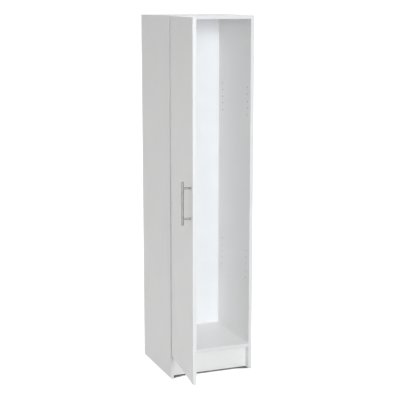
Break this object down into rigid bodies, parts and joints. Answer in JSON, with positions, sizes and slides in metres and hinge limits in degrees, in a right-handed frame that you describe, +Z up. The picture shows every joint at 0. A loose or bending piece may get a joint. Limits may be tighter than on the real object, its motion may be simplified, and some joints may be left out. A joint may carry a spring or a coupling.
{
  "type": "broom cupboard",
  "caption": "Tall narrow white broom cupboard with a full overlay door on concealed hinges, a bar handle, a recessed kick board and shelf pin holes, shown with its door open.",
  "frame": {"origin": "on the floor, at the centre of the kick board's underside, at the cupboard's mid-width", "axes": "+Z up, +X to the right as seen from the front, the front and the open door face -Y"},
  "size_m": [0.4861, 0.7882, 1.651],
  "materials": {
    "melamine_board": "white melamine faced board with white edge banding, satin",
    "hardboard_back": "thin white painted hardboard, satin",
    "handle_steel": "brushed along its length",
    "hinge_nickel": "nickel plated pressed steel",
    "screw_steel": "bright zinc plated",
    "cam_zinc": "bare die-cast zinc",
    "bumper_clear": "soft clear plastic"
  },
  "bodies": {
    "carcass": {"left_side_panel": "melamine_board", "right_side_panel": "melamine_board", "top_panel": "melamine_board", "bottom_panel": "melamine_board", "kick_board": "melamine_board", "back_panel": "hardboard_back", "top_left_front_cam_lock": "cam_zinc", "top_left_back_cam_lock": "cam_zinc", "top_right_front_cam_lock": "cam_zinc", "top_right_back_cam_lock": "cam_zinc", "bottom_left_front_cam_lock": "cam_zinc", "bottom_left_back_cam_lock": "cam_zinc", "bottom_right_front_cam_lock": "cam_zinc", "bottom_right_back_cam_lock": "cam_zinc", "top_left_front_cam_bolt": "screw_steel", "top_left_back_cam_bolt": "screw_steel", "top_right_front_cam_bolt": "screw_steel", "top_right_back_cam_bolt": "screw_steel", "bottom_left_front_cam_bolt": "screw_steel", "bottom_left_back_cam_bolt": "screw_steel", "bottom_right_front_cam_bolt": "screw_steel", "bottom_right_back_cam_bolt": "screw_steel", "lower_hinge_plate": "hinge_nickel", "lower_hinge_arm": "hinge_nickel", "lower_hinge_clamp_screw": "screw_steel", "lower_hinge_plate_screw_lower": "screw_steel", "lower_hinge_plate_screw_upper": "screw_steel", "middle_hinge_plate": "hinge_nickel", "middle_hinge_arm": "hinge_nickel", "middle_hinge_clamp_screw": "screw_steel", "middle_hinge_plate_screw_lower": "screw_steel", "middle_hinge_plate_screw_upper": "screw_steel", "upper_hinge_plate": "hinge_nickel", "upper_hinge_arm": "hinge_nickel", "upper_hinge_clamp_screw": "screw_steel", "upper_hinge_plate_screw_lower": "screw_steel", "upper_hinge_plate_screw_upper": "screw_steel"},
    "door": {"door_panel": "melamine_board", "handle_bar": "handle_steel", "handle_post_lower": "handle_steel", "handle_post_upper": "handle_steel", "handle_screw_lower": "screw_steel", "handle_screw_upper": "screw_steel", "door_bumper_lower": "bumper_clear", "door_bumper_upper": "bumper_clear", "lower_hinge_cup": "hinge_nickel", "lower_hinge_cup_screw_lower": "screw_steel", "lower_hinge_cup_screw_upper": "screw_steel", "middle_hinge_cup": "hinge_nickel", "middle_hinge_cup_screw_lower": "screw_steel", "middle_hinge_cup_screw_upper": "screw_steel", "upper_hinge_cup": "hinge_nickel", "upper_hinge_cup_screw_lower": "screw_steel", "upper_hinge_cup_screw_upper": "screw_steel"},
    "lower_outer_link": {"lower_hinge_outer_link": "hinge_nickel"},
    "lower_inner_link": {"lower_hinge_inner_link": "hinge_nickel"},
    "middle_outer_link": {"middle_hinge_outer_link": "hinge_nickel"},
    "middle_inner_link": {"middle_hinge_inner_link": "hinge_nickel"},
    "upper_outer_link": {"upper_hinge_outer_link": "hinge_nickel"},
    "upper_inner_link": {"upper_hinge_inner_link": "hinge_nickel"}
  },
  "joints": [
    {"name": "door_swing", "type": "hinge", "parent": "carcass", "child": "door", "pos_m": [-0.19479, -0.05555, 0.8812], "axis": [0, 0, -1], "range_deg": [-97, 13]},
    {"name": "lower_outer_link_turn", "type": "hinge", "parent": "carcass", "child": "lower_outer_link", "pos_m": [-0.17567, -0.05291, 0.213], "axis": [0, 0, 1], "range_deg": [-46, 6.3]},
    {"name": "lower_inner_link_turn", "type": "hinge", "parent": "carcass", "child": "lower_inner_link", "pos_m": [-0.17317, -0.05276, 0.213], "axis": [0, 0, 1], "range_deg": [-41.4, 5.7]},
    {"name": "middle_outer_link_turn", "type": "hinge", "parent": "carcass", "child": "middle_outer_link", "pos_m": [-0.17567, -0.05291, 0.8812], "axis": [0, 0, 1], "range_deg": [-46, 6.3]},
    {"name": "middle_inner_link_turn", "type": "hinge", "parent": "carcass", "child": "middle_inner_link", "pos_m": [-0.17317, -0.05276, 0.8812], "axis": [0, 0, 1], "range_deg": [-41.4, 5.7]},
    {"name": "upper_outer_link_turn", "type": "hinge", "parent": "carcass", "child": "upper_outer_link", "pos_m": [-0.17567, -0.05291, 1.5494], "axis": [0, 0, 1], "range_deg": [-46, 6.3]},
    {"name": "upper_inner_link_turn", "type": "hinge", "parent": "carcass", "child": "upper_inner_link", "pos_m": [-0.17317, -0.05276, 1.5494], "axis": [0, 0, 1], "range_deg": [-41.4, 5.7]}
  ],
  "couplings": [
    {"joint": "lower_outer_link_turn", "follows": "door_swing", "ratio": 0.47246},
    {"joint": "lower_inner_link_turn", "follows": "door_swing", "ratio": 0.42515},
    {"joint": "middle_outer_link_turn", "follows": "door_swing", "ratio": 0.47246},
    {"joint": "middle_inner_link_turn", "follows": "door_swing", "ratio": 0.42515},
    {"joint": "upper_outer_link_turn", "follows": "door_swing", "ratio": 0.47246},
    {"joint": "upper_inner_link_turn", "follows": "door_swing", "ratio": 0.42515}
  ]
}
